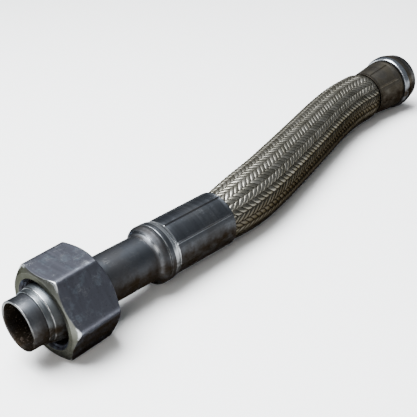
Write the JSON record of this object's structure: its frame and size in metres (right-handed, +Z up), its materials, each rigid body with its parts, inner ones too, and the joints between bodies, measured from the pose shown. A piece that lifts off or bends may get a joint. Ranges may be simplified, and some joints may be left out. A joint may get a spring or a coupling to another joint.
{
  "type": "compressor flex hose",
  "caption": "Short braided metal hose for compressor discharge, with a bite-type standpipe and turning union nut at one end and a flange head with a face seal at the other.",
  "frame": {"origin": "middle of the footprint on the floor that the hose lies on", "axes": "+X runs along the hose from the union nut to the flange head, +Z is up, the union nut's axis is parallel to X"},
  "size_m": [0.4244, 0.088, 0.0528],
  "materials": {
    "zinc_plate": "blue-grey zinc plate, dull",
    "bright_steel": "bright turned steel",
    "crimped_steel": "grey plated, crimped",
    "braid_wire": "stainless wire bands",
    "black_rubber": "matt black"
  },
  "bodies": {
    "hose": {"standpipe": "zinc_plate", "cutting_ring": "zinc_plate", "near_ferrule": "crimped_steel", "braid": "braid_wire", "liner_hose": "black_rubber", "far_ferrule": "crimped_steel", "flange_stem": "bright_steel", "flange_o_ring": "black_rubber"},
    "nut": {"union_nut": "zinc_plate"}
  },
  "joints": [
    {"name": "nut_spin", "type": "hinge", "parent": "hose", "child": "nut", "pos_m": [-0.1794, -0.01351, 0.0264], "axis": [1, 0, 0], "continuous": true}
  ]
}
